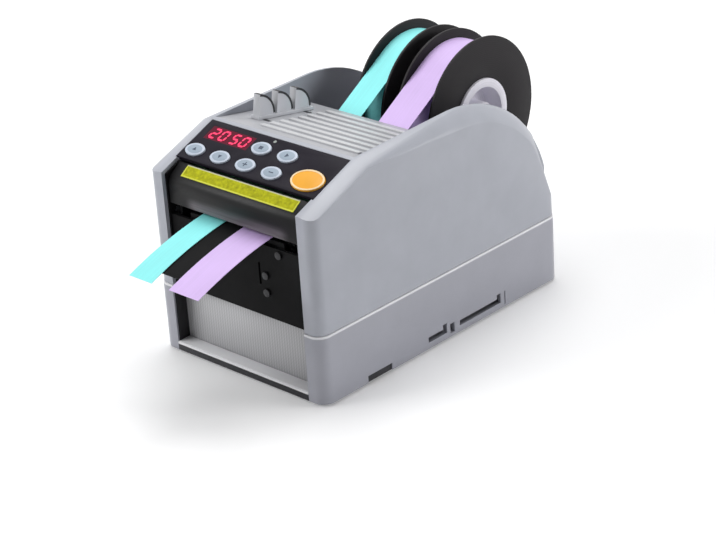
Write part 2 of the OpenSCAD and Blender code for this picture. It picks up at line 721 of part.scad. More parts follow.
// Bent steel frame: a floor, two side plates, front flanges and the cutter motor's bracket
module mech_frame() color([0.7, 0.71, 0.73]) difference() {
    union() {
        box(-frame_half, frame_half, carriage_y + carriage_t + 2.2, frame_end_y, frame_z,
            frame_z + frame_t);
        both_sides() {
            across_from(frame_half - frame_t, frame_t) polygon([[frame_y, frame_z],
                [frame_end_y, frame_z], [frame_end_y, guide_c[1] + pinch_shaft_r + 2],
                [feed_y, pinch_c[1] + 7], [frame_y + 4, fixed_edge_z + 11],
                [frame_y + 1.6, fixed_edge_z + 11], [frame_y + 1.6, face_top_z], [frame_y, face_top_z]]);
            box(frame_half, bay_half - 1, frame_y, frame_y + frame_t, frame_z, face_top_z);
        }
        box(-motor_r - 3, motor_r + 3, bracket_y, bracket_y + frame_t, frame_z, crank_z + motor_r);
    }
    bush_bore(feed_c, feed_shaft_r);
    bush_bore(pinch_c, pinch_shaft_r);
    bush_bore(guide_c, pinch_shaft_r);
    rod_y(0, crank_z, motor_boss_r + seat, bracket_y - over, bracket_y + frame_t + over);
    rod_x(pinion_c, motor_boss_r + seat, 0, tall);
    both_sides() for (y = post_ys) rod_z(post_x, y, screw_r, 0, frame_z + frame_t + over);
}

module frame_screws() color([0.75, 0.76, 0.78]) both_sides() for (y = post_ys) {
    rod_z(post_x, y, 3, frame_z + frame_t, frame_z + frame_t + 2);
    rod_z(post_x, y, screw_r - 0.15, seam_z - 8, frame_z + frame_t);
}

module feed_shaft() color([0.78, 0.79, 0.8])
    rod_x(feed_c, feed_shaft_r, -shaft_half, gear_x + gear_w + 0.5);

module sleeve(c, r, bore, half) difference() {
    rod_x(c, r, -half, half);
    rod_x(c, bore + seat, -half - over, half + over);
}

module feed_roller() color([0.28, 0.28, 0.3]) sleeve(feed_c, feed_r, feed_shaft_r, roller_half);

module pinch_shaft() color([0.78, 0.79, 0.8]) rod_x(pinch_c, pinch_shaft_r, -shaft_half, shaft_half);

module pinch_roller() color([0.85, 0.85, 0.84]) sleeve(pinch_c, pinch_r, pinch_shaft_r, roller_half);

module guide_roller() color([0.8, 0.81, 0.82]) {
    rod_x(guide_c, guide_r, -roller_half, roller_half);
    rod_x(guide_c, pinch_shaft_r, -shaft_half, shaft_half);
}

module feed_gear() color([0.86, 0.84, 0.78]) difference() {
    translate([0, feed_c[0], feed_c[1]]) across_from(gear_x, gear_w)
        polygon(gear_outline(gear_teeth, mesh_angle));
    rod_x(feed_c, feed_shaft_r + seat, 0, tall);
}

module motor_pinion() color([0.72, 0.6, 0.32]) {
    translate([0, pinion_c[0], pinion_c[1]]) across_from(gear_x, gear_w)
        polygon(gear_outline(pinion_teeth, mesh_angle + 180 + 180 / pinion_teeth));
    rod_x(pinion_c, motor_shaft_r, frame_half - frame_t - 8, gear_x + gear_w + 0.5);
}

module feed_motor() color([0.55, 0.56, 0.58]) difference() {
    union() {
        rod_x(pinion_c, motor_r, frame_half - frame_t - motor_l, frame_half - frame_t);
        rod_x(pinion_c, motor_boss_r, frame_half - frame_t, frame_half);
    }
    rod_x(pinion_c, motor_shaft_r + running, frame_half - frame_t - 9, tall);
}

module bush(c, r) difference() {
    rod_x(c, r + bush_wall, frame_half - frame_t - bush_proud, shaft_half);
    rod_x(c, r + running, 0, tall);
}

module shaft_bushes() color([0.7, 0.55, 0.3]) both_sides() {
    bush(feed_c, feed_shaft_r);
    bush(pinch_c, pinch_shaft_r);
    bush(guide_c, pinch_shaft_r);
}

// Side guide's middle place along the lid, and the slots that it slides in
guide_start = 16.5;
peg_r = 1.5;
peg_ys = [guide_start + 4, guide_start + 2 * fin_pitch + 8];
rib_x0 = guide_x + guide_foot / 2 + guide_travel + 1;

module feed_lid() color([0.6, 0.61, 0.64]) on_lid() {
    difference() {
        box(-lid_w / 2, lid_w / 2, lid_pin_y - lid_pin_r, lid_l, -lid_t, 0);
        for (y = peg_ys) guide_slot(y);
    }
    for (y = [8:rib_pitch:lid_l - rib_w - over]) box(rib_x0, lid_w / 2 - 4, y, y + rib_w, -0.1, rib_h);
    rod_x([lid_pin_y, -lid_t / 2], lid_pin_r, slack - well_half - wall, well_half + wall - slack);
}

// A slot across the lid for one peg of the side guide
module guide_slot(y) {
    box(guide_x, guide_x + guide_travel, y - peg_r - 0.1, y + peg_r + 0.1, -lid_t - over, over);
    for (x = [guide_x, guide_x + guide_travel]) rod_z(x, y, peg_r + 0.1, -lid_t - over, over);
}

module side_guide() color([0.75, 0.77, 0.8]) on_lid() {
    box(guide_x - guide_foot / 2, guide_x + guide_foot / 2, guide_start, guide_start + 3 * fin_pitch,
        0.2, 2);
    for (i = [0:2]) translate([guide_x - 2.5, guide_start + i * fin_pitch + 0.5, 1.8])
        intersection() {
            rotate([0, 90, 0]) cylinder(r = fin_r, h = 5);
            cube([5, fin_r, fin_r]);
        }
    for (y = peg_ys) {
        rod_z(guide_x, y, peg_r, -lid_t - 0.3, 0.3);
        rod_z(guide_x, y, peg_r + 1, -lid_t - 1.2, -lid_t - 0.2);
    }
}

module reel_axle() color([0.8, 0.81, 0.82]) rod_x(reel_c, axle_r, 0.5 - well_half, well_half - 0.5);

// Reel places along the axle: each holds its tape between two flanges
function reel_end(tape_w) = tape_w + 2 * (tape_side + flange_t);
left_reel_x = -reel_span / 2;
right_reel_x = reel_span / 2 - reel_end(right_tape_w);
collar_proud = 1.5;

module ring_x(c, r, bore, x0, x1) difference() {
    rod_x(c, r, x0, x1);
    rod_x(c, bore + seat, x0 - over, x1 + over);
}

module axle_collars() color([0.25, 0.25, 0.27]) {
    ring_x(reel_c, axle_r + 3, axle_r, left_reel_x - collar_proud - 0.3 - 5,
        left_reel_x - collar_proud - 0.3);
    ring_x(reel_c, axle_r + 3, axle_r, left_reel_x + reel_end(left_tape_w) + collar_proud + 0.3,
        right_reel_x - collar_proud - 0.3);
    ring_x(reel_c, axle_r + 3, axle_r, -left_reel_x + collar_proud + 0.3, -left_reel_x + collar_proud + 5.3);
}

// Hub of one reel, turned about the axle: a drum between the flanges, a collar that stands proud at each
// end, and a recess inside the collar round the bearing boss
module hub(x0, tape_w) translate([x0, reel_y, reel_z]) rotate([0, 90, 0]) {
    whole = reel_end(tape_w);
    p = -collar_proud;
    q = whole + collar_proud;
    mid = whole / 2;
    boss_r = axle_r + 4;
    rotate_extrude($fn = 96) polygon([[axle_r + running, p], [boss_r, p], [boss_r, mid - 2],
        [collar_bore_r, mid - 2], [collar_bore_r, p], [collar_r, p], [collar_r, flange_t],
        [core_r, flange_t], [core_r, whole - flange_t], [collar_r, whole - flange_t], [collar_r, q],
        [collar_bore_r, q], [collar_bore_r, mid + 2], [boss_r, mid + 2], [boss_r, q],
        [axle_r + running, q]]);
}

module flanges(x0, tape_w) {
    ring_x(reel_c, flange_r, collar_r, x0, x0 + flange_t);
    ring_x(reel_c, flange_r, collar_r, x0 + reel_end(tape_w) - flange_t, x0 + reel_end(tape_w));
}

module tape_roll(x0, tape_w) ring_x(reel_c, roll_r, core_r, x0, x0 + tape_w);

module left_hub() color([0.8, 0.8, 0.83]) hub(left_reel_x, left_tape_w);

module right_hub() color([0.8, 0.8, 0.83]) hub(right_reel_x, right_tape_w);

module left_flanges() color([0.14, 0.13, 0.14]) flanges(left_reel_x, left_tape_w);

module right_flanges() color([0.14, 0.13, 0.14]) flanges(right_reel_x, right_tape_w);

module left_tape_roll() color([0.47, 0.93, 0.88]) tape_roll(left_tape_x, left_tape_w);

module right_tape_roll() color([0.84, 0.74, 0.95]) tape_roll(right_tape_x, right_tape_w);

module left_web() color([0.47, 0.93, 0.88]) across_from(left_tape_x, left_tape_w)
    polygon(ribbon(web_path(), tape_t));

module right_web() color([0.84, 0.74, 0.95]) across_from(right_tape_x, right_tape_w)
    polygon(ribbon(web_path(), tape_t));

module left_strip() color([0.47, 0.93, 0.88]) across_from(left_tape_x, left_tape_w) polygon(strip_outline);

module right_strip() color([0.84, 0.74, 0.95]) across_from(right_tape_x, right_tape_w) polygon(strip_outline);

// Power board on four posts over the base's floor, with its transformer and capacitors
board_y0 = well_front_y + 12;
board_y1 = body_l - 24;
board_half = 40;

module power_board() color([0.14, 0.4, 0.25]) {
    box(-board_half, board_half, board_y0, board_y1, floor_z + 5, floor_z + 6.6);
    for (x = [4 - board_half, board_half - 4], y = [board_y0 + 4, board_y1 - 4])
        rod_z(x, y, 3, floor_z, floor_z + 5);
    box(-24, 4, board_y0 + 8, board_y0 + 34, floor_z + 6.6, floor_z + 24);
    for (x = [14, 27]) rod_z(x, board_y0 + 16, 5, floor_z + 6.6, floor_z + 22);
}

module power_inlet() color([0.08, 0.08, 0.09]) difference() {
    union() {
        rod_y(power_x, power_z, inlet_r - seat, body_l - 13, body_l);
        rod_y(power_x, power_z, inlet_r + 2.5, body_l, body_l + 1.5);
    }
    rod_y(power_x, power_z, 3.2, body_l - 10, body_l + 2 * over);
}

module rocker_frame() color([0.07, 0.07, 0.08]) difference() {
    union() {
        box(-power_x - 6.5, -power_x + 6.5, body_l - 13, body_l, power_z - 9.5, power_z + 9.5);
        box(-power_x - 8, -power_x + 8, body_l, body_l + 1.6, power_z - 11, power_z + 11);
    }
    box(-power_x - rocker_w / 2 - slack, -power_x + rocker_w / 2 + slack, body_l - 11.5, body_l + 2 * over,
        power_z - rocker_r - slack, power_z + rocker_r + slack);
    rod_x([body_l - rocker_depth, power_z], 1.25, -power_x - 6, -power_x + 6);
}

// Rocker: a round body cut by two faces that meet at its middle, tipped to its off side
module power_rocker() color([0.12, 0.12, 0.13]) translate([-power_x, body_l - rocker_depth, power_z])
    rotate([-rocker_rest, 0, 0]) {
        across(rocker_w) difference() {
            circle(rocker_r);
            for (a = [-rocker_rest, rocker_rest]) rotate(a) translate([rocker_depth + 1.2, -tall / 2])
                square(tall);
        }
        rod_x([0, 0], 1.2, -rocker_w / 2 - 1.4, rocker_w / 2 + 1.4);
    }

placed() base_tray();
placed() upper_cover();
placed() front_plate();
placed() rubber_feet();
placed() base_screws();
placed() panel_fascia();
placed() small_key(1);  // key_1
placed() small_key(2);  // key_2
placed() small_key(3);  // key_3
placed() small_key(4);  // key_4
placed() small_key(5);  // key_5
placed() small_key(6);  // key_6
placed() start_key();
placed() display_window();
placed() status_led();
placed() keypad_board();
placed() key_switches();
placed() display_module();
placed() safety_cover();
placed() yellow_strip();
placed() cutter_face();
placed() cutter_face_screws();
placed() exit_tongue();
placed() fixed_blade();
placed() blade_bar();
placed() moving_blade();
placed() blade_carriage();
placed() crank_disc();
placed() cutter_motor();
placed() carriage_guides();
placed() mech_frame();
placed() frame_screws();
placed() feed_shaft();
placed() feed_roller();
placed() feed_gear();
placed() motor_pinion();
placed() feed_motor();
placed() pinch_shaft();
placed() pinch_roller();
placed() guide_roller();
placed() shaft_bushes();
placed() feed_lid();
placed() side_guide();
placed() reel_axle();
placed() axle_collars();
placed() left_hub();
placed() left_flanges();
placed() left_tape_roll();
placed() right_hub();
placed() right_flanges();
placed() right_tape_roll();
placed() left_web();
placed() right_web();
placed() left_strip();
placed() right_strip();
placed() power_board();
placed() power_inlet();
placed() rocker_frame();
placed() power_rocker();
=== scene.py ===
"""Looks of the electric tape dispenser: materials, small surface details, studio and camera."""
import math

import bmesh
import bpy
from mathutils import Matrix, Vector


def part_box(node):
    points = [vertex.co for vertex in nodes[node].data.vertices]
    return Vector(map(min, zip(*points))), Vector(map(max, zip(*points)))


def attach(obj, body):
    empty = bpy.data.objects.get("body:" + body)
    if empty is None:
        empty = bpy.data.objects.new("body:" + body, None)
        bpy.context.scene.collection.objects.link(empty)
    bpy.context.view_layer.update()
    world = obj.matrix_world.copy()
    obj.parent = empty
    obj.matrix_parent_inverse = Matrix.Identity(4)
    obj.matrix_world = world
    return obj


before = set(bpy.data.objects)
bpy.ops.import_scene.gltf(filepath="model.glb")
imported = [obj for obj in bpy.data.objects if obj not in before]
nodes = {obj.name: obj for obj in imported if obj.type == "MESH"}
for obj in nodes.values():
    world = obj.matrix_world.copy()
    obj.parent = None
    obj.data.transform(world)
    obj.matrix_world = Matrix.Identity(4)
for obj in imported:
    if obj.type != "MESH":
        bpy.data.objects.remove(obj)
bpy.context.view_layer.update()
scene = bpy.context.scene
KEYS = [f"key_{i}" for i in range(1, 7)]

# Measures that the materials need, in metres
axle_lo, axle_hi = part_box("reel_axle")
REEL_Y, REEL_Z = (axle_lo.y + axle_hi.y) / 2, (axle_lo.z + axle_hi.z) / 2
SEAM_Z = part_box("base_tray")[1].z
LID_TILT = math.radians(-9.6)
LID_UP = Vector((0, -math.sin(LID_TILT), math.cos(LID_TILT)))
RIB_TOP = max(v.co.dot(LID_UP) for v in nodes["feed_lid"].data.vertices)


# Node trees

LOW_NOISE, HIGH_NOISE = 0.3, 0.7    # a noise stays mostly between these
NOISE_ROUGHNESS = 0.55


def tree(name):
    """New material, with its node tree and its shader."""
    m = bpy.data.materials.new(name)
    m.use_nodes = True
    return m, m.node_tree, m.node_tree.nodes["Principled BSDF"]


def math_node(nt, op, a, b=None):
    """Output of a maths node on sockets and numbers."""
    m = nt.nodes.new("ShaderNodeMath")
    m.operation = op
    for i, v in enumerate((a, b)):
        if v is None:
            continue
        if isinstance(v, (int, float)):
            m.inputs[i].default_value = v
        else:
            nt.links.new(v, m.inputs[i])
    return m.outputs[0]


def plus(nt, a, b):
    return math_node(nt, "ADD", a, b)


def minus(nt, a, b):
    return math_node(nt, "SUBTRACT", a, b)


def times(nt, a, b):
    return math_node(nt, "MULTIPLY", a, b)


def wave(nt, value, pitch):
    """Sine of a length, once round in each pitch."""
    return math_node(nt, "SINE", times(nt, value, 2 * math.pi / pitch))


def vector_node(nt, op, vector, other=None):
    """Vector that is multiplied, or the number that a dot product or a length gives."""
    v = nt.nodes.new("ShaderNodeVectorMath")
    v.operation = op
    if other is not None:
        v.inputs[1].default_value = other
    nt.links.new(vector, v.inputs[0])
    return v.outputs["Vector" if op == "MULTIPLY" else "Value"]


def coords(nt, scale=None):
    """Object coordinates in metres: the part's own, because every piece sits at the origin."""
    place = nt.nodes.new("ShaderNodeTexCoord").outputs["Object"]
    return place if scale is None else vector_node(nt, "MULTIPLY", place, scale)


def axes(nt):
    """X, Y and Z of the object coordinates."""
    s = nt.nodes.new("ShaderNodeSeparateXYZ")
    nt.links.new(coords(nt), s.inputs[0])
    return s.outputs["X"], s.outputs["Y"], s.outputs["Z"]


def noise(nt, vector, scale, detail=3.0):
    n = nt.nodes.new("ShaderNodeTexNoise")
    n.inputs["Scale"].default_value = scale
    n.inputs["Detail"].default_value = detail
    n.inputs["Roughness"].default_value = NOISE_ROUGHNESS
    nt.links.new(vector, n.inputs["Vector"])
    return n.outputs["Fac"]


def ramp(nt, fac, stops):
    """Colours in between stops, each a position and a colour."""
    r = nt.nodes.new("ShaderNodeValToRGB")
    for stop, (at, color) in zip(r.color_ramp.elements, stops):
        stop.position = at
        stop.color = (*color, 1.0)
    nt.links.new(fac, r.inputs["Fac"])
    return r.outputs["Color"]


def shade(color, k):
    return tuple(min(1.0, c * k) for c in color)


def tint(nt, fac, color, low, high):
    """Colour that wavers with a noise, between two multiples of itself."""
    return ramp(nt, fac, [(LOW_NOISE, shade(color, low)), (HIGH_NOISE, shade(color, high))])


def map_range(nt, kind, value, start, end, low, high):
    m = nt.nodes.new("ShaderNodeMapRange")
    m.interpolation_type = kind
    m.inputs["From Min"].default_value = start
    m.inputs["From Max"].default_value = end
    m.inputs["To Min"].default_value = low
    m.inputs["To Max"].default_value = high
    nt.links.new(value, m.inputs["Value"])
    return m.outputs["Result"]


def spread(nt, fac, low, high):
    """Noise laid over a range."""
    return map_range(nt, "LINEAR", fac, LOW_NOISE, HIGH_NOISE, low, high)


def soft_step(nt, value, start, end, low=0.0, high=1.0):
    """Goes softly from low to high while a value goes from start to end."""
    return map_range(nt, "SMOOTHSTEP", value, start, end, low, high)


def edge_band(nt, value, low, high, width):
    """1 within a width of either end of a range, and 0 between."""
    half = (high - low) / 2
    off = math_node(nt, "ABSOLUTE", minus(nt, value, (low + high) / 2))
    return soft_step(nt, off, half - width, half - width * 0.6)


def mix_color(nt, fac, a, b):
    mix = nt.nodes.new("ShaderNodeMix")
    mix.data_type = "RGBA"
    for socket, value in (("Factor", fac), ("A", a), ("B", b)):
        nt.links.new(value, mix.inputs[socket])
    return mix.outputs["Result"]


def surface(nt, bsdf, color, rough, gloss=0.5):
    """Links the colour and the roughness, and sets how strongly the surface reflects."""
    nt.links.new(color, bsdf.inputs["Base Color"])
    nt.links.new(rough, bsdf.inputs["Roughness"])
    bsdf.inputs["Specular IOR Level"].default_value = gloss


def bump(nt, bsdf, height, strength, distance):
    b = nt.nodes.new("ShaderNodeBump")
    b.inputs["Strength"].default_value = strength
    b.inputs["Distance"].default_value = distance
    nt.links.new(height, b.inputs["Height"])
    nt.links.new(b.outputs["Normal"], bsdf.inputs["Normal"])


# Kinds of surface

def moulded(name, color, rough, vary, grain, depth, strength, gloss=0.5):
    """Moulded or painted surface: faint blotches, uneven gloss and a fine grain."""
    m, nt, bsdf = tree(name)
    v = coords(nt)
    broad, fine = noise(nt, v, 45, 4.0), noise(nt, v, grain, 2.0)
    surface(nt, bsdf, tint(nt, broad, color, 1 - vary, 1 + vary),
            spread(nt, fine, rough - 0.06, rough + 0.06), gloss)
    bump(nt, bsdf, fine, strength, depth)
    return m


def top_highlighted(name, color, highlight, normal, top, start, full):
    """Moulding with a painted highlight near its top along a normal, fading in from one depth to
    another.
    """
    m, nt, bsdf = tree(name)
    v = coords(nt)
    broad, fine = noise(nt, v, 40, 4.0), noise(nt, v, 3000, 2.0)
    height = vector_node(nt, "DOT_PRODUCT", v, normal)
    highlight_mask = times(nt, soft_step(nt, height, top - start, top - full), spread(nt, broad, 0.75, 1.0))
    surface(nt, bsdf, mix_color(nt, highlight_mask, tint(nt, broad, color, 0.965, 1.035),
                                tint(nt, fine, highlight, 0.95, 1.0)),
            spread(nt, fine, 0.3, 0.42))
    bump(nt, bsdf, fine, 0.2, 0.00005)
    return m


def bordered(name, color, border, rim, node, width):
    """Mottled strip with a brighter border, and a painted highlight along its upper edge."""
    m, nt, bsdf = tree(name)
    mesh = nodes[node].data
    normal = max(mesh.polygons, key=lambda f: f.area).normal
    up_slope = Vector((0, abs(normal.z), math.copysign(normal.y, -normal.y * normal.z)))
    xs = [v.co.x for v in mesh.vertices]
    ups = [v.co.dot(up_slope) for v in mesh.vertices]
    left, right, low, high = min(xs), max(xs), min(ups), max(ups)
    v = coords(nt)
    broad, fine = noise(nt, v, 420, 4.0), noise(nt, v, 900, 2.0)
    across, up = axes(nt)[0], vector_node(nt, "DOT_PRODUCT", v, up_slope)
    edge = math_node(nt, "MAXIMUM", edge_band(nt, across, left, right, width),
                     edge_band(nt, up, low, high, width))
    # painted highlight along the upper edge: a range twice as long, so that its other end is off
    # the strip
    upper_highlight = edge_band(nt, up, 2 * low - high, high, width * 0.75)
    inner = mix_color(nt, edge, tint(nt, broad, color, 0.7, 1.3), tint(nt, fine, border, 0.93, 1.0))
    surface(nt, bsdf, mix_color(nt, upper_highlight, inner, tint(nt, fine, rim, 0.93, 1.0)),
            spread(nt, fine, 0.39, 0.51), 0.1)
    bump(nt, bsdf, fine, 0.2, 0.00004)
    return m


def brushed(name, color, along, rough=0.32):
    """Drawn or turned metal: fine streaks along one axis."""
    m, nt, bsdf = tree(name)
    scale = [3500.0, 3500.0, 3500.0]
    scale["xyz".index(along)] = 60.0
    streak = noise(nt, coords(nt, scale), 1.0)
    surface(nt, bsdf, tint(nt, streak, color, 0.88, 1.12),
            spread(nt, streak, rough - 0.08, rough + 0.1))
    bsdf.inputs["Metallic"].default_value = 1.0
    bump(nt, bsdf, streak, 0.15, 0.00004)
    return m


def turned(name, color, rough, pitch, vary, depth, strength=0.3, gloss=0.5):
    """Rings round the reel axis: wound tape edges or fine turning marks."""
    m, nt, bsdf = tree(name)
    _, y, z = axes(nt)
    dy, dz = minus(nt, y, REEL_Y), minus(nt, z, REEL_Z)
    radius = math_node(nt, "SQRT", plus(nt, times(nt, dy, dy), times(nt, dz, dz)))
    ring = plus(nt, times(nt, wave(nt, radius, pitch), 0.25), 0.5)
    blot = noise(nt, coords(nt), 160, 4.0)
    both = plus(nt, times(nt, ring, 0.45), times(nt, blot, 0.55))
    surface(nt, bsdf, tint(nt, both, color, 1 - vary, 1 + vary),
            spread(nt, blot, rough - 0.06, rough + 0.08), gloss)
    bump(nt, bsdf, ring, strength, depth)
    return m


def film(name, color):
    """Thin coloured tape: satin, with faint streaks along its length."""
    m, nt, bsdf = tree(name)
    streak = noise(nt, coords(nt, (900, 25, 25)), 1.0)
    broad = noise(nt, coords(nt), 40)
    both = plus(nt, times(nt, streak, 0.5), times(nt, broad, 0.5))
    surface(nt, bsdf, tint(nt, both, color, 0.93, 1.05), spread(nt, streak, 0.36, 0.5))
    bsdf.inputs["Coat Weight"].default_value = 0.15
    bump(nt, bsdf, streak, 0.12, 0.00004)
    return m


def plate_weave():
    """Textured front plate: fine upright ribs with a faint cross weave."""
    m, nt, bsdf = tree("plate_weave")
    pitch, groove, crest = 0.0021, (0.40, 0.40, 0.41), (0.56, 0.56, 0.575)
    x, _, z = axes(nt)
    rib, cross = wave(nt, x, pitch), wave(nt, z, pitch)
    height = plus(nt, plus(nt, times(nt, rib, 0.3), times(nt, times(nt, rib, cross), 0.2)), 0.5)
    surface(nt, bsdf, ramp(nt, height, [(0.1, groove), (0.9, crest)]),
            spread(nt, noise(nt, coords(nt), 700), 0.42, 0.56))
    bsdf.inputs["Metallic"].default_value = 0.15
    bump(nt, bsdf, height, 0.5, 0.0002)
    return m


def smoked():
    """Smoked safety cover: near black, with a paler window low in its middle."""
    m, nt, bsdf = tree("smoked_cover")
    dark, pale = (0.009, 0.009, 0.0095), (0.16, 0.145, 0.16)
    middle, clear_half, dark_half = 0.003, 0.034, 0.044
    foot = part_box("safety_cover")[0].z
    x, _, z = axes(nt)
    off = math_node(nt, "ABSOLUTE", minus(nt, x, middle))
    window = times(nt, soft_step(nt, z, foot + 0.0085, foot + 0.0015),
                   soft_step(nt, off, dark_half, clear_half))
    veil = times(nt, window, noise(nt, coords(nt, (18, 18, 420)), 1.0))
    surface(nt, bsdf, ramp(nt, veil, [(0.0, dark), (0.6, pale)]),
            spread(nt, noise(nt, coords(nt), 600), 0.3, 0.42), 0.15)
    bump(nt, bsdf, noise(nt, coords(nt), 300), 0.05, 0.0001)
    return m


def glowing(name, color, power):
    """Lit window, lamp or figure: a little uneven, and lit from within."""
    m, nt, bsdf = tree(name)
    spot = noise(nt, coords(nt), 1500, 2.0)
    lit = tint(nt, spot, color, 0.85, 1.0)
    surface(nt, bsdf, lit, spread(nt, spot, 0.3, 0.4), 0.1)
    nt.links.new(lit, bsdf.inputs["Emission Color"])
    bsdf.inputs["Emission Strength"].default_value = power
    return m


# Materials. After the colour, moulded takes the roughness, how far the colour wavers, and the
# scale, depth and strength of the grain; turned takes the roughness, the pitch of the rings, how
# far the colour wavers, and the depth and strength of the rings.
M = {
    "shell": moulded("shell_grey", (0.41, 0.425, 0.475), 0.36, 0.035, 3000, 0.00005, 0.2),
    # painted highlight along the top of the base, at the seam
    "base": top_highlighted("base_grey", (0.375, 0.38, 0.43), (0.93, 0.93, 0.95), (0, 0, 1), SEAM_Z,
                   0.0018, 0.0009),
    # painted highlight on the crests of the lid's ribs
    "lid": top_highlighted("lid_grey", (0.41, 0.415, 0.44), (0.66, 0.665, 0.68), LID_UP, RIB_TOP,
                  0.0007, 0.0003),
    "guide": moulded("guide_grey", (0.56, 0.57, 0.60), 0.36, 0.05, 2600, 0.00005, 0.2),
    "panel": moulded("panel_black", (0.011, 0.009, 0.015), 0.5, 0.25, 4200, 0.00004, 0.3, 0.1),
    "key": moulded("key_pale", (0.52, 0.58, 0.68), 0.42, 0.04, 3000, 0.00003, 0.2),
    "key_face": moulded("key_face", (0.31, 0.38, 0.46), 0.5, 0.08, 3000, 0.00003, 0.2),
    "mark": moulded("key_mark", (0.05, 0.07, 0.11), 0.55, 0.1, 3000, 0.00003, 0.2),
    "start": moulded("start_orange", (0.88, 0.41, 0.035), 0.4, 0.06, 2600, 0.00004, 0.2, 0.3),
    "start_rim": moulded("start_rim", (0.90, 0.70, 0.42), 0.42, 0.05, 2600, 0.00004, 0.2),
    "black": moulded("black_plastic", (0.016, 0.016, 0.018), 0.45, 0.2, 2600, 0.00006, 0.3, 0.25),
    "black_metal": moulded("black_metal", (0.006, 0.006, 0.0065), 0.5, 0.2, 1800, 0.00006, 0.3,
                           0.06),
    "rubber": moulded("foot_rubber", (0.018, 0.018, 0.019), 0.75, 0.15, 1600, 0.0001, 0.4),
    # the third colour is the painted highlight along the strip's upper edge
    "yellow": bordered("strip_yellow", (0.42, 0.425, 0.01), (0.70, 0.72, 0.08), (0.54, 0.54, 0.4),
                       "yellow_strip", 0.0011),
    "flange": turned("flange_dark", (0.02, 0.018, 0.02), 0.5, 0.0012, 0.18, 0.00003, 0.15, 0.15),
    "hub": turned("hub_grey", (0.84, 0.82, 0.9), 0.45, 0.0016, 0.05, 0.00003, 0.15),
    "cyan_roll": turned("roll_cyan", (0.28, 0.9, 0.9), 0.45, 0.0006, 0.08, 0.00004),
    "lilac_roll": turned("roll_lilac", (0.66, 0.50, 0.88), 0.45, 0.0006, 0.08, 0.00004),
    "cyan": film("tape_cyan", (0.28, 0.9, 0.9)),
    "lilac": film("tape_lilac", (0.70, 0.51, 0.89)),
    "steel_x": brushed("steel_along_x", (0.62, 0.63, 0.65), "x"),
    "steel_y": brushed("steel_along_y", (0.55, 0.56, 0.58), "y", 0.36),
    "steel_z": brushed("steel_along_z", (0.6, 0.61, 0.63), "z", 0.3),
    "bronze": brushed("bush_bronze", (0.50, 0.31, 0.12), "x", 0.35),
    "motor": brushed("motor_can", (0.42, 0.43, 0.45), "x", 0.4),
    "nylon": moulded("gear_nylon", (0.72, 0.69, 0.58), 0.5, 0.05, 2000, 0.00005, 0.2),
    "silicone": moulded("roller_rubber", (0.16, 0.16, 0.165), 0.7, 0.1, 1500, 0.0001, 0.4),
    "white": moulded("roller_white", (0.68, 0.68, 0.66), 0.5, 0.05, 2000, 0.00005, 0.2),
    "board": moulded("board_green", (0.03, 0.14, 0.06), 0.4, 0.2, 900, 0.00006, 0.3),
    "plate": plate_weave(),
    "smoke": smoked(),
    "display": glowing("display_red", (0.075, 0.003, 0.014), 0.7),
    "digit": glowing("digit_pink", (0.85, 0.05, 0.13), 0.9),
    "screw": brushed("screw_dim", (0.05, 0.05, 0.052), "z", 0.42),
    # pale colour of the painted highlight on the front ledge
    "ledge": moulded("ledge_painted_highlight", (0.84, 0.84, 0.86), 0.4, 0.04, 2600, 0.00005, 0.2),
    # dark colour of the painted shade: on the fins' edges, under the front ledge and in the notches
    "shade_black": moulded("painted_shade_black", (0.03, 0.03, 0.034), 0.55, 0.15, 2200, 0.00006, 0.3, 0.3),
    "led": glowing("led_pale", (0.35, 0.38, 0.36), 0.15),
}

PAINT = {
    "shell": ["upper_cover"],
    "base": ["base_tray"],
    "lid": ["feed_lid"],
    "guide": ["side_guide"],
    "panel": ["panel_fascia"],
    "key": KEYS,
    "start": ["start_key"],
    "black": ["key_switches", "carriage_guides", "axle_collars", "power_inlet", "rocker_frame",
              "power_rocker"],
    "black_metal": ["cutter_face", "exit_tongue", "blade_bar", "mech_frame"],
    "rubber": ["rubber_feet"],
    "yellow": ["yellow_strip"],
    "flange": ["left_flanges", "right_flanges"],
    "hub": ["left_hub", "right_hub"],
    "cyan_roll": ["left_tape_roll"],
    "lilac_roll": ["right_tape_roll"],
    "cyan": ["left_web", "left_strip"],
    "lilac": ["right_web", "right_strip"],
    "steel_x": ["reel_axle", "feed_shaft", "pinch_shaft", "guide_roller", "fixed_blade",
                "moving_blade"],
    "steel_y": ["crank_disc", "blade_carriage"],
    "steel_z": ["base_screws", "frame_screws"],
    "screw": ["cutter_face_screws"],
    "bronze": ["shaft_bushes", "motor_pinion"],
    "motor": ["cutter_motor", "feed_motor"],
    "nylon": ["feed_gear"],
    "silicone": ["feed_roller"],
    "white": ["pinch_roller", "display_module"],
    "board": ["keypad_board", "power_board"],
    "plate": ["front_plate"],
    "smoke": ["safety_cover"],
    "display": ["display_window"],
    "led": ["status_led"],
}
for look, names in PAINT.items():
    for name in names:
        mesh = nodes[name].data
        mesh.materials.clear()
        mesh.materials.append(M[look])


# Edges: a small rounding on the CAD pieces, and shading that is smooth but for real corners

WELD = 0.000004
SHARP_FROM = math.radians(32)
ROUND_FROM = math.radians(40)


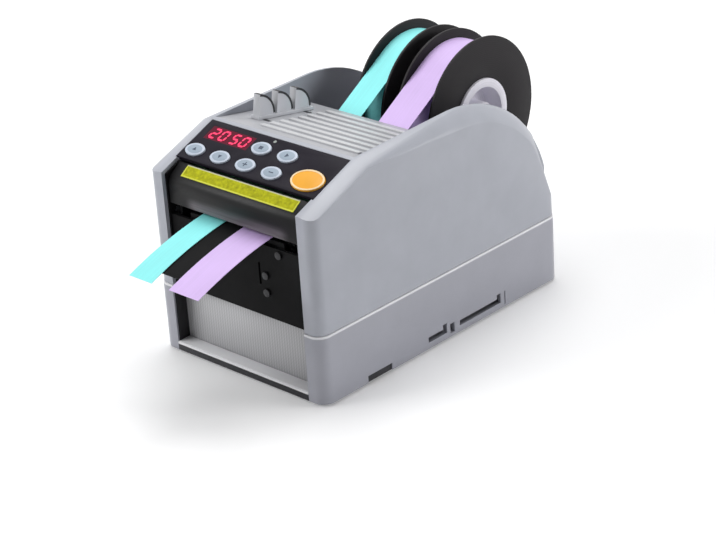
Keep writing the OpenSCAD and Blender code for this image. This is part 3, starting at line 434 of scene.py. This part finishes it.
def smooth_group():
    """Node group that shades smooth, and keeps edges sharp where the faces turn enough."""
    g = bpy.data.node_groups.new("smooth_by_angle", "GeometryNodeTree")
    for way in ("INPUT", "OUTPUT"):
        g.interface.new_socket("Geometry", in_out=way, socket_type="NodeSocketGeometry")
    start, end = g.nodes.new("NodeGroupInput"), g.nodes.new("NodeGroupOutput")
    faces = g.nodes.new("GeometryNodeSetShadeSmooth")
    edges = g.nodes.new("GeometryNodeSetShadeSmooth")
    faces.domain, edges.domain = "FACE", "EDGE"
    edges.inputs["Shade Smooth"].default_value = False
    angle = g.nodes.new("GeometryNodeInputMeshEdgeAngle")
    more = g.nodes.new("FunctionNodeCompare")
    more.data_type, more.operation = "FLOAT", "GREATER_THAN"
    more.inputs[1].default_value = SHARP_FROM
    g.links.new(start.outputs[0], faces.inputs["Geometry"])
    g.links.new(faces.outputs[0], edges.inputs["Geometry"])
    g.links.new(angle.outputs["Unsigned Angle"], more.inputs[0])
    g.links.new(more.outputs[0], edges.inputs["Selection"])
    g.links.new(edges.outputs[0], end.inputs[0])
    return g


SMOOTH = smooth_group()


def dress(obj, width):
    """Welds a piece, rounds its edges by a width if there is one, and smooths its shading."""
    w = obj.modifiers.new("weld", "WELD")
    w.merge_threshold = WELD
    if width:
        b = obj.modifiers.new("edge", "BEVEL")
        b.width = width
        b.segments = 2
        b.limit_method = "ANGLE"
        b.angle_limit = ROUND_FROM
        b.use_clamp_overlap = True
    s = obj.modifiers.new("smooth", "NODES")
    s.node_group = SMOOTH


ROUND = {
    0.0002: ["front_plate", "left_tape_roll", "right_tape_roll"],
    0.0003: ["panel_fascia", "feed_lid", "exit_tongue", "base_screws"],
    0.0004: ["safety_cover", "cutter_face_screws", "power_inlet", "power_rocker"],
    0.0005: ["left_flanges", "right_flanges", "axle_collars", "rubber_feet", "rocker_frame",
             "reel_axle"],
    0.0006: ["start_key", "side_guide", "left_hub", "right_hub", *KEYS],
    0.0007: ["base_tray"],
}
width_of = {name: width for width, names in ROUND.items() for name in names}
for name, obj in nodes.items():
    dress(obj, width_of.get(name, 0.0))


# Helpers for the small pieces

def piece(name, bm, material, body, matrix=None, rounding=0.0):
    """Makes a piece of a bmesh, and lets it ride on a body."""
    if matrix is not None:
        bmesh.ops.transform(bm, matrix=matrix, verts=bm.verts)
    bmesh.ops.recalc_face_normals(bm, faces=bm.faces)
    mesh = bpy.data.meshes.new(name)
    bm.to_mesh(mesh)
    bm.free()
    obj = bpy.data.objects.new(name, mesh)
    scene.collection.objects.link(obj)
    mesh.materials.append(material)
    if rounding:
        dress(obj, rounding)
    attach(obj, body)


def skin(bm, rows):
    """Adds the faces between each row of vertices, a closed ring, and the next."""
    for a, b in zip(rows, rows[1:]):
        for i in range(len(a)):
            j = (i + 1) % len(a)
            bm.faces.new((a[i], a[j], b[j], b[i]))


def solid(bm, rows):
    """Adds a closed solid over rows of vertices."""
    bm.faces.new(rows[-1])
    bm.faces.new(list(reversed(rows[0])))
    skin(bm, rows)


def prism(bm, outline, z0, z1):
    """Adds a closed prism over an outline in the XY plane."""
    solid(bm, [[bm.verts.new((x, y, z)) for x, y in outline] for z in (z0, z1)])


def extrude_x(bm, outline, x0, x1):
    """Adds a closed bar along X over an outline in the YZ plane."""
    solid(bm, [[bm.verts.new((x, y, z)) for y, z in outline] for x in (x0, x1)])


def rect(u0, u1, v0, v1):
    return [(u0, v0), (u1, v0), (u1, v1), (u0, v1)]


def oval(cu, cv, width, length, n):
    turns = [2 * math.pi * i / n for i in range(n)]
    return [(cu + width / 2 * math.cos(t), cv + length / 2 * math.sin(t)) for t in turns]


# Pieces on the panel: faces and signs of the keys, and the rim of the start key

PANEL_TILT = math.radians(22.2)


def panel_matrix():
    """Panel frame: x across, y up the slope, z out, from the panel's front top edge."""
    front = min((v.co for v in nodes["panel_fascia"].data.vertices), key=lambda c: c.y)
    return Matrix.Translation((0, front.y, front.z)) @ Matrix.Rotation(PANEL_TILT, 4, "X")


ON_PANEL = panel_matrix()


def centre(node):
    """Middle of a node in the panel frame, and the height of its top there."""
    back = ON_PANEL.inverted()
    xs, ys, zs = zip(*(back @ v.co for v in nodes[node].data.vertices))
    return (min(xs) + max(xs)) / 2, (min(ys) + max(ys)) / 2, max(zs)


KEY_FACE, KEY_SIDES = (0.0112, 0.0070), 40
FACE_SUNK, FACE_PROUD, FACE_ROUND = 0.0003, 0.00012, 0.00008
SIGN_HALF, SIGN_PROUD = 0.0015, 0.0002
BAR = rect(-1.2, 1.2, -0.25, 0.25)
SIGNS = {    # generic signs, one for each key in turn: outlines in half widths
    "up": [[(-1, -0.7), (1, -0.7), (0, 1)]],
    "down": [[(-1, 0.7), (0, -1), (1, 0.7)]],
    "plus": [BAR, rect(-0.25, 0.25, 0.27, 1.2), rect(-0.25, 0.25, -1.2, -0.27)],
    "minus": [BAR],
    "stop": [rect(-1, 1, -0.8, 0.8)],
    "right": [[(-0.7, -1), (1, 0), (-0.7, 1)]],
}
for key, outlines in zip(KEYS, SIGNS.values()):
    cx, cy, top = centre(key)
    bm = bmesh.new()
    prism(bm, oval(cx, cy, *KEY_FACE, KEY_SIDES), top - FACE_SUNK, top + FACE_PROUD)
    piece(f"{key}_face", bm, M["key_face"], f"{key}_body", ON_PANEL, FACE_ROUND)
    bm = bmesh.new()
    for outline in outlines:
        placed = [(cx + SIGN_HALF * x, cy + SIGN_HALF * y) for x, y in outline]
        prism(bm, placed, top, top + SIGN_PROUD)
    piece(f"{key}_mark", bm, M["mark"], f"{key}_body", ON_PANEL)

RIM_WIDTH, RIM_LENGTH, RIM_BAND, RIM_SIDES = 0.0237, 0.0163, 0.0013, 56
RIM_SUNK, RIM_PROUD, RIM_CROWN = 0.0004, 0.00025, 0.00008
cx, cy, top = centre("start_key")
foot, crest = top - RIM_SUNK, top + RIM_PROUD
bm = bmesh.new()
rows = []
for part, z in ((0.0, foot), (0.06, crest - RIM_CROWN), (0.3, crest), (0.7, crest),
                (0.94, crest - RIM_CROWN), (1.0, foot)):
    inset = 2 * RIM_BAND * part
    ring = oval(cx, cy, RIM_WIDTH - inset, RIM_LENGTH - inset, RIM_SIDES)
    rows.append([bm.verts.new((x, y, z)) for x, y in ring])
skin(bm, rows + rows[:1])
piece("start_key_rim", bm, M["start_rim"], "start_key_body", ON_PANEL)


# Display digits: slanted seven-segment figures just above the window

DIGITS = "2050"
LIT = {"0": "abcdef", "2": "abged", "5": "afgcd"}
DIGIT_HALF_W, DIGIT_HALF_H, STROKE, LEAN = 0.0023, 0.0037, 0.0013, 0.1
FIRST_DIGIT, DIGIT_PITCH, PAIR_GAP = -0.0125, 0.0078, 0.0016
DIGIT_SUNK, DIGIT_PROUD = 0.0002, 0.00008
SEGMENTS = {    # both ends of each segment, in half widths and half heights
    "a": (-1, 1, 1, 1), "g": (-1, 0, 1, 0), "d": (-1, -1, 1, -1), "f": (-1, 0, -1, 1),
    "b": (1, 0, 1, 1), "e": (-1, -1, -1, 0), "c": (1, -1, 1, 0),
}


def segment(cx, cy, ends):
    """Outline of one segment with pointed ends, leaning to the right."""
    x0, y0, x1, y1 = ends
    start = Vector((cx + x0 * DIGIT_HALF_W, cy + y0 * DIGIT_HALF_H))
    end = Vector((cx + x1 * DIGIT_HALF_W, cy + y1 * DIGIT_HALF_H))
    along = (end - start).normalized()
    side = Vector((-along.y, along.x)) * STROKE * 0.5
    point = along * STROKE * 0.5
    a, b = start + along * STROKE * 0.15, end - along * STROKE * 0.15
    outline = [a, a + point + side, b - point + side, b, b - point - side, a + point - side]
    return [(p.x + LEAN * (p.y - cy), p.y) for p in outline]


wx, wy, top = centre("display_window")
bm = bmesh.new()
for i, digit in enumerate(DIGITS):
    cx = wx + FIRST_DIGIT + i * DIGIT_PITCH + (PAIR_GAP if i > 1 else 0)
    for s in LIT[digit]:
        prism(bm, segment(cx, wy, SEGMENTS[s]), top - DIGIT_SUNK, top + DIGIT_PROUD)
piece("display_digits", bm, M["digit"], "body", ON_PANEL)


# Painted shade: a dark band round the curved side of each guide fin, where that edge is in shade

FINS, FIN_R, FIN_PITCH, FOOT_TOP = 3, 0.0135, 0.0155, 0.0018
FIN_SHADE_BAND = rect(-0.0027, 0.0027, FIN_R - 0.0011, FIN_R + 0.0003)    # across, and from its centre
FIN_SHADE_SHIFT, FIN_SHADE_ROUND = 0.0005, 0.0002
FIN_SHADE_STEPS, FIN_SHADE_FROM, FIN_SHADE_SWEEP = 24, 88, 84    # angles in degrees


def lid_matrix():
    """Lid frame, level with the lid's slope, with its origin at the front of the guide's foot."""
    level = Matrix.Rotation(-LID_TILT, 4, "X")
    pts = [level @ v.co for v in nodes["side_guide"].data.vertices]
    front, top = min(p.y for p in pts), max(p.z for p in pts)
    middle = sum(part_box("side_guide"), Vector()).x / 2
    origin = Matrix.Translation((middle, front, top - FIN_R - FOOT_TOP))
    return Matrix.Rotation(LID_TILT, 4, "X") @ origin


bm = bmesh.new()
for i in range(FINS):
    fin_y = FIN_SHADE_SHIFT + i * FIN_PITCH
    rows = []
    for k in range(FIN_SHADE_STEPS + 1):
        a = math.radians(FIN_SHADE_FROM - FIN_SHADE_SWEEP * k / FIN_SHADE_STEPS)
        rows.append([bm.verts.new((x, fin_y + r * math.cos(a), FOOT_TOP + r * math.sin(a)))
                     for x, r in FIN_SHADE_BAND])
    solid(bm, rows)
piece("fin_painted_shade", bm, M["shade_black"], "side_guide_body", lid_matrix(),
      FIN_SHADE_ROUND)


# Pieces on the base: a pale strip on the front ledge, a painted highlight, with a black strip under
# it, a painted shadow; black linings beside the plate; and a dark plate in each low notch, which is
# painted shade

tray_lo, tray_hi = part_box("base_tray")
plate_lo, plate_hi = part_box("front_plate")
PROUD, FIT = 0.0003, 0.0002
BAY = plate_hi.x + FIT
FRONT, LEDGE = tray_lo.y, plate_lo.z
STRIP_LIP, STRIP_LIP_DEEP, STRIP_CHAMFER = 0.0014, 0.001, 0.0004
SHADOW_STRIP_DEEP, SHADOW_STRIP_TOP = 0.0005, 0.0015
LINING_THICK, LINING_SUNK, LINING_FRONT, LINING_GAP = 0.0007, 0.0004, 0.0012, 0.0001
LINING_FOOT, LINING_TOP = 0.0004, 0.0003
NOTCH_SHADE_THICK, NOTCH_SHADE_SUNK, NOTCH_SHADE_FRONT, NOTCH_SHADE_BACK = 0.0008, 0.0006, 0.0368, 0.0582
NOTCH_SHADE_FOOT, NOTCH_SHADE_TOP = 0.0001, 0.0048
STRIP_ROUND, THIN_ROUND = 0.00015, 0.0001

# painted highlight: pale strip on the front ledge and over its front edge
bm = bmesh.new()
extrude_x(bm, [(FRONT - PROUD, LEDGE - STRIP_LIP), (FRONT + STRIP_LIP_DEEP, LEDGE - STRIP_LIP),
               (FRONT + STRIP_LIP_DEEP, LEDGE - FIT), (plate_lo.y - FIT, LEDGE - FIT),
               (plate_lo.y - FIT, LEDGE + PROUD), (FRONT + STRIP_CHAMFER, LEDGE + PROUD),
               (FRONT - PROUD, LEDGE - PROUD)], -BAY, BAY)
piece("ledge_highlight_strip", bm, M["ledge"], "body", rounding=STRIP_ROUND)

# painted shadow: black strip along the foot of the ledge, for the shadow of the gap under the base
bm = bmesh.new()
extrude_x(bm, rect(FRONT - PROUD, FRONT + SHADOW_STRIP_DEEP, tray_lo.z + FIT, LEDGE - SHADOW_STRIP_TOP),
          -BAY, BAY)
piece("ledge_painted_shadow", bm, M["shade_black"], "body", rounding=STRIP_ROUND)

bm = bmesh.new()
for x in (-BAY - LINING_SUNK, BAY + LINING_SUNK - LINING_THICK):
    extrude_x(bm, rect(FRONT + LINING_FRONT, plate_lo.y - LINING_GAP,
                       LEDGE + LINING_FOOT, tray_hi.z - LINING_TOP), x, x + LINING_THICK)
piece("plate_linings", bm, M["black"], "body", rounding=THIN_ROUND)

# painted shade: dark plates inside the low notches, for the shade under the base
bm = bmesh.new()
for x in (tray_lo.x + NOTCH_SHADE_SUNK, tray_hi.x - NOTCH_SHADE_SUNK - NOTCH_SHADE_THICK):
    extrude_x(bm, rect(FRONT + NOTCH_SHADE_FRONT, FRONT + NOTCH_SHADE_BACK,
                       tray_lo.z + NOTCH_SHADE_FOOT, tray_lo.z + NOTCH_SHADE_TOP), x, x + NOTCH_SHADE_THICK)
piece("notch_painted_shade", bm, M["shade_black"], "body", rounding=THIN_ROUND)


# Rear: centre pin of the power socket

PIN_SIDES = 20
PIN = (    # depth below the socket's face, radius
    (0.0112, 0.0011), (0.0028, 0.0011), (0.0022, 0.0008), (0.0019, 0.0003),
)
inlet_lo, inlet_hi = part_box("power_inlet")
pin_x, pin_z = (inlet_lo.x + inlet_hi.x) / 2, (inlet_lo.z + inlet_hi.z) / 2
bm = bmesh.new()
rows = []
for deep, r in PIN:
    ring = oval(pin_x, pin_z, 2 * r, 2 * r, PIN_SIDES)
    rows.append([bm.verts.new((x, inlet_hi.y - deep, z)) for x, z in ring])
solid(bm, rows)
piece("power_inlet_pin", bm, M["steel_y"], "body")


# Studio: pale floor that runs on to the horizon, large soft lights and the photograph's camera

FLOOR_HALF, FLOOR_Z = 6.0, -0.0002
GLOW_NEAR, GLOW_FAR = (0.25, 0.13), (2.5, 0.75)    # distance from the origin, strength
SOFT_LIGHT, BACKDROP = 0.12, 1.0
LAMPS = (    # name, place, target, size and power
    ("key_light", (-1.1, -1.2, 1.1), (0, 0, 0.05), (1.1, 1.1), 20),
    ("right_light", (1.3, 0.75, 0.55), (0, 0, 0.1), (0.7, 0.4), 9.2),
    ("top_light", (-0.25, 0.4, 1.68), (0, 0, 0.05), (1.2, 1.0), 21),
)


def seen_ray(nt):
    """1 for rays that show the studio itself, in the picture, in metal or through glass."""
    path = nt.nodes.new("ShaderNodeLightPath")
    clear = math_node(nt, "MAXIMUM", path.outputs["Is Glossy Ray"],
                      path.outputs["Is Transmission Ray"])
    return math_node(nt, "MAXIMUM", path.outputs["Is Camera Ray"], clear)


def floor():
    """Pale floor that glows more with distance, so that it ends in white but keeps the shadow."""
    bm = bmesh.new()
    bmesh.ops.create_grid(bm, x_segments=2, y_segments=2, size=FLOOR_HALF)
    mesh = bpy.data.meshes.new("studio_floor")
    bm.to_mesh(mesh)
    bm.free()
    o = bpy.data.objects.new("studio_floor", mesh)
    scene.collection.objects.link(o)
    m, nt, bsdf = tree("studio_floor")
    bsdf.inputs["Base Color"].default_value = (0.93, 0.93, 0.935, 1)
    bsdf.inputs["Roughness"].default_value = 0.7
    bsdf.inputs["Specular IOR Level"].default_value = 0.1
    bsdf.inputs["Emission Color"].default_value = (1, 1, 1, 1)
    distance = vector_node(nt, "LENGTH", coords(nt))
    glow = soft_step(nt, distance, GLOW_NEAR[0], GLOW_FAR[0], GLOW_NEAR[1], GLOW_FAR[1])
    nt.links.new(times(nt, seen_ray(nt), glow), bsdf.inputs["Emission Strength"])
    mesh.materials.append(m)
    o.location = (0, 0, FLOOR_Z)


floor()

for name, place, target, size, power in LAMPS:
    light = bpy.data.lights.new(name, "AREA")
    light.shape = "RECTANGLE"
    light.size, light.size_y = size
    light.energy = power
    lamp = bpy.data.objects.new(name, light)
    scene.collection.objects.link(lamp)
    lamp.location = place
    aim = Vector(target) - Vector(place)
    lamp.rotation_euler = aim.to_track_quat("-Z", "Y").to_euler()

world = bpy.data.worlds.new("studio")
scene.world = world
world.use_nodes = True
wt = world.node_tree
wt.nodes.clear()
mix = wt.nodes.new("ShaderNodeMixShader")
wt.links.new(seen_ray(wt), mix.inputs["Fac"])
for i, strength in ((1, SOFT_LIGHT), (2, BACKDROP)):
    white = wt.nodes.new("ShaderNodeBackground")
    white.inputs["Color"].default_value = (1, 1, 1, 1)
    white.inputs["Strength"].default_value = strength
    wt.links.new(white.outputs[0], mix.inputs[i])
out = wt.nodes.new("ShaderNodeOutputWorld")
wt.links.new(mix.outputs[0], out.inputs["Surface"])

# Camera, fitted to the photograph
AZ, EL, ROLL, DIST = math.radians(44.55), math.radians(25.05), math.radians(-3.88), 1.350
FRONT_SHIFT = -0.0937199    # Y of the body's front, which the fit took as 0
FOCAL_PX, PHOTO_WIDTH_PX, SENSOR_MM = 2180.0, 716.0, 36.0
target = Vector((0.00397, 0.100 + FRONT_SHIFT, 0.033))
back = Vector((math.sin(AZ) * math.cos(EL), -math.cos(AZ) * math.cos(EL), math.sin(EL)))
level = Vector((math.cos(AZ), math.sin(AZ), 0))
upright = back.cross(level)
right = math.cos(ROLL) * level + math.sin(ROLL) * upright
up = -math.sin(ROLL) * level + math.cos(ROLL) * upright
cam = bpy.data.cameras.new("camera")
cam.sensor_width = SENSOR_MM
cam.lens = FOCAL_PX / PHOTO_WIDTH_PX * SENSOR_MM
cam.clip_start, cam.clip_end = 0.01, 50
camera = bpy.data.objects.new("camera", cam)
scene.collection.objects.link(camera)
turn = Matrix((right, up, back)).transposed().to_4x4()
camera.matrix_world = Matrix.Translation(target + back * DIST) @ turn
scene.camera = camera
scene.view_settings.view_transform = "Standard"
